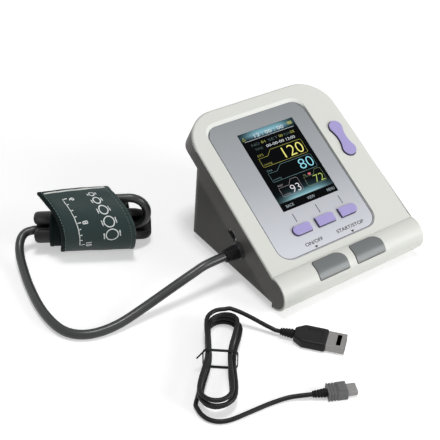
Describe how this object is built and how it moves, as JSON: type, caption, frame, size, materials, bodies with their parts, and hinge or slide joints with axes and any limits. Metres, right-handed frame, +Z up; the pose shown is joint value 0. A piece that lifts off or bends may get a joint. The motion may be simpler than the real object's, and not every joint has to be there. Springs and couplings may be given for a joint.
{
  "type": "veterinary blood pressure monitor",
  "caption": "Sloped desk monitor that measures blood pressure, with screen, soft keys, bar buttons, air hose to a rolled inflatable cuff, and a loose data lead wound in a hank.",
  "frame": {"origin": "on the table under the middle of the base, at the middle of the anti-slip pad", "axes": "+Z up, +Y to the back of the housing, -Y is the front with the round bar, -X is the side of the hose"},
  "size_m": [0.2269, 0.2219, 0.08],
  "materials": {
    "white_plastic": "satin",
    "dark_plastic": "satin",
    "panel_silver": "satin",
    "screen_glass": "gloss",
    "key_violet": "satin",
    "button_grey": "satin",
    "board_green": "satin",
    "black_plastic": "satin",
    "inner_white": "satin",
    "steel": "satin",
    "black_rubber": "matte",
    "hose_grey": "satin",
    "clear_tube": "satin",
    "green_cloth": "matte",
    "hem_white": "matte",
    "bladder_black": "matte",
    "cable_black": "satin",
    "cell_blue": "satin"
  },
  "bodies": {
    "housing": {"front_cover": "white_plastic", "rear_cover": "dark_plastic", "display_panel": "panel_silver", "lcd_window": "screen_glass", "lcd_module": "black_plastic", "lcd_frame": "inner_white", "nav_pin": "steel", "main_board": "board_green", "board_screws": "steel", "tact_switches": "black_plastic", "button_board": "board_green", "button_switches": "black_plastic", "flat_cable": "inner_white", "buzzer": "black_plastic", "usb_socket": "steel", "power_jack": "black_plastic", "pump_motor": "steel", "pump_head": "black_plastic", "release_valve": "steel", "valve_spring": "steel", "air_manifold": "inner_white", "pressure_sensor": "black_plastic", "air_tubes": "clear_tube", "battery_tray": "black_plastic", "battery_cells": "cell_blue", "battery_contacts": "steel", "rubber_feet": "black_rubber", "housing_screws": "steel", "hose_socket": "black_plastic", "hose_plug": "black_plastic", "hose_boot": "black_rubber", "air_hose": "hose_grey", "cuff_sleeve": "green_cloth", "cuff_hem": "hem_white", "cuff_bladder": "bladder_black", "hook_patch": "green_cloth", "cuff_port": "black_plastic", "usb_hank": "cable_black", "usb_lead_a": "cable_black", "usb_lead_mini": "cable_black", "usb_a_boot": "black_rubber", "usb_a_plug": "black_plastic", "usb_a_shell": "steel", "usb_a_tongue": "inner_white", "mini_boot": "black_rubber", "mini_plug": "button_grey", "mini_shell": "steel", "cable_tie": "black_plastic"},
    "body_key_left": {"key_left": "key_violet"},
    "body_key_middle": {"key_middle": "key_violet"},
    "body_key_right": {"key_right": "key_violet"},
    "body_nav_key": {"nav_key": "key_violet"},
    "body_power_button": {"power_button": "button_grey"},
    "body_start_button": {"start_button": "button_grey"},
    "body_battery_door": {"battery_door": "dark_plastic"},
    "body_pump_shaft": {"pump_shaft": "steel"},
    "body_valve_plunger": {"valve_plunger": "steel"}
  },
  "joints": [
    {"name": "key_left_press", "type": "slide", "parent": "housing", "child": "body_key_left", "axis": [0, 0.5, -0.866], "range_m": [0, 0.0008], "stiffness_N_per_m": 1500},
    {"name": "key_middle_press", "type": "slide", "parent": "housing", "child": "body_key_middle", "axis": [0, 0.5, -0.866], "range_m": [0, 0.0008], "stiffness_N_per_m": 1500},
    {"name": "key_right_press", "type": "slide", "parent": "housing", "child": "body_key_right", "axis": [0, 0.5, -0.866], "range_m": [0, 0.0008], "stiffness_N_per_m": 1500},
    {"name": "power_button_press", "type": "slide", "parent": "housing", "child": "body_power_button", "axis": [0, 0.5446, -0.8387], "range_m": [0, 0.0008], "stiffness_N_per_m": 1500},
    {"name": "start_button_press", "type": "slide", "parent": "housing", "child": "body_start_button", "axis": [0, 0.5446, -0.8387], "range_m": [0, 0.0008], "stiffness_N_per_m": 1500},
    {"name": "nav_key_rock", "type": "hinge", "parent": "housing", "child": "body_nav_key", "pos_m": [0.0432, 0.01515, 0.05095], "axis": [1, 0, 0], "range_deg": [-3.5, 3.5], "stiffness_Nm_per_rad": 0.2},
    {"name": "battery_door_open", "type": "hinge", "parent": "housing", "child": "body_battery_door", "pos_m": [0, 0.04346, 0.00984], "axis": [-1, 0, 0], "range_deg": [0, 95]},
    {"name": "pump_shaft_turn", "type": "hinge", "parent": "housing", "child": "body_pump_shaft", "pos_m": [0.0408, 0, 0.0152], "axis": [0, 1, 0], "continuous": true},
    {"name": "valve_plunger_draw", "type": "slide", "parent": "housing", "child": "body_valve_plunger", "axis": [0, 0, -1], "range_m": [0, 0.001], "stiffness_N_per_m": 800, "deforming": ["valve_spring"]}
  ]
}
